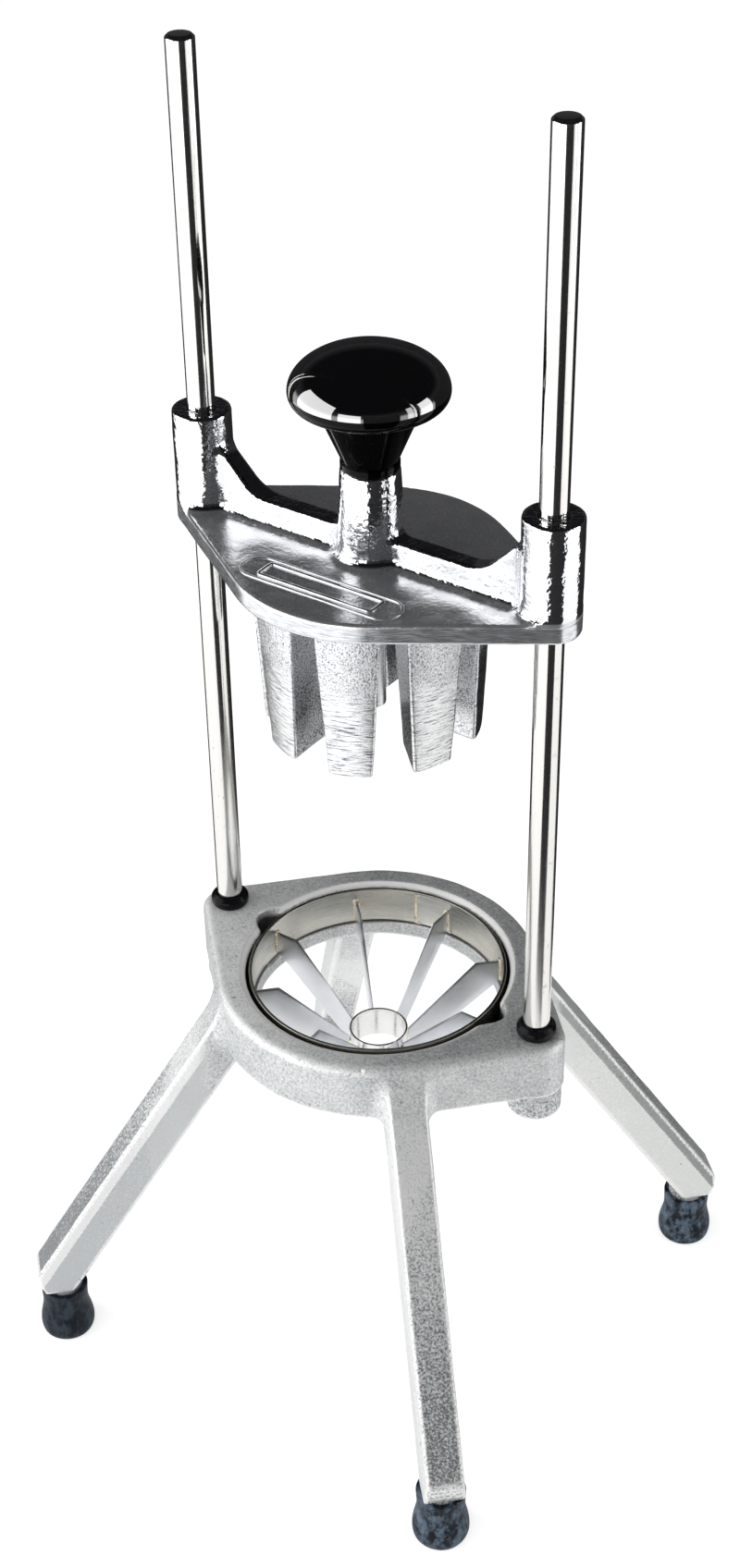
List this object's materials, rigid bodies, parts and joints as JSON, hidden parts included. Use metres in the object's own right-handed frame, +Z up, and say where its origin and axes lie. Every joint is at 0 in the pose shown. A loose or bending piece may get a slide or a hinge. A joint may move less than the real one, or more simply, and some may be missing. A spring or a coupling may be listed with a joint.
{
  "type": "apple corer",
  "caption": "Free-standing apple corer and wedger: a cast push head with a knob slides down two guide rods and drives fruit through a ring of radial blades on a four-legged base.",
  "frame": {"origin": "on the table, midway between the four feet", "axes": "+X from the left rod to the right rod, -Y to the front, +Z up along the rods"},
  "size_m": [0.2016, 0.2066, 0.4936],
  "materials": {
    "base_aluminium": "fine sand-cast, matte grey",
    "head_aluminium": "tumbled bright casting",
    "turned_aluminium": "turned",
    "rod_steel": "ground and polished",
    "blade_steel": "rolled stainless strip",
    "screw_steel": "bright",
    "stud_steel": "plain",
    "insert_brass": "turned",
    "knob_black": "moulded, high gloss",
    "bumper_rubber": "moulded, satin black",
    "foot_rubber": "moulded, scuffed charcoal"
  },
  "bodies": {
    "base": {"base_casting": "base_aluminium", "guide_rod_left": "rod_steel", "guide_rod_right": "rod_steel", "bumper_left": "bumper_rubber", "bumper_right": "bumper_rubber", "foot_front_left": "foot_rubber", "foot_front_right": "foot_rubber", "foot_rear_left": "foot_rubber", "foot_rear_right": "foot_rubber", "blade_ring": "blade_steel", "core_tube": "blade_steel", "ring_screws": "screw_steel", "blade_1": "blade_steel", "blade_2": "blade_steel", "blade_3": "blade_steel", "blade_4": "blade_steel", "blade_5": "blade_steel", "blade_6": "blade_steel", "blade_7": "blade_steel", "blade_8": "blade_steel"},
    "push_head": {"head_casting": "head_aluminium", "core_pin": "turned_aluminium", "knob": "knob_black", "knob_insert": "insert_brass", "knob_stud": "stud_steel"}
  },
  "joints": [
    {"name": "head_slide", "type": "slide", "parent": "base", "child": "push_head", "axis": [0, 0, 1], "range_m": [-0.1608, 0.12]}
  ]
}
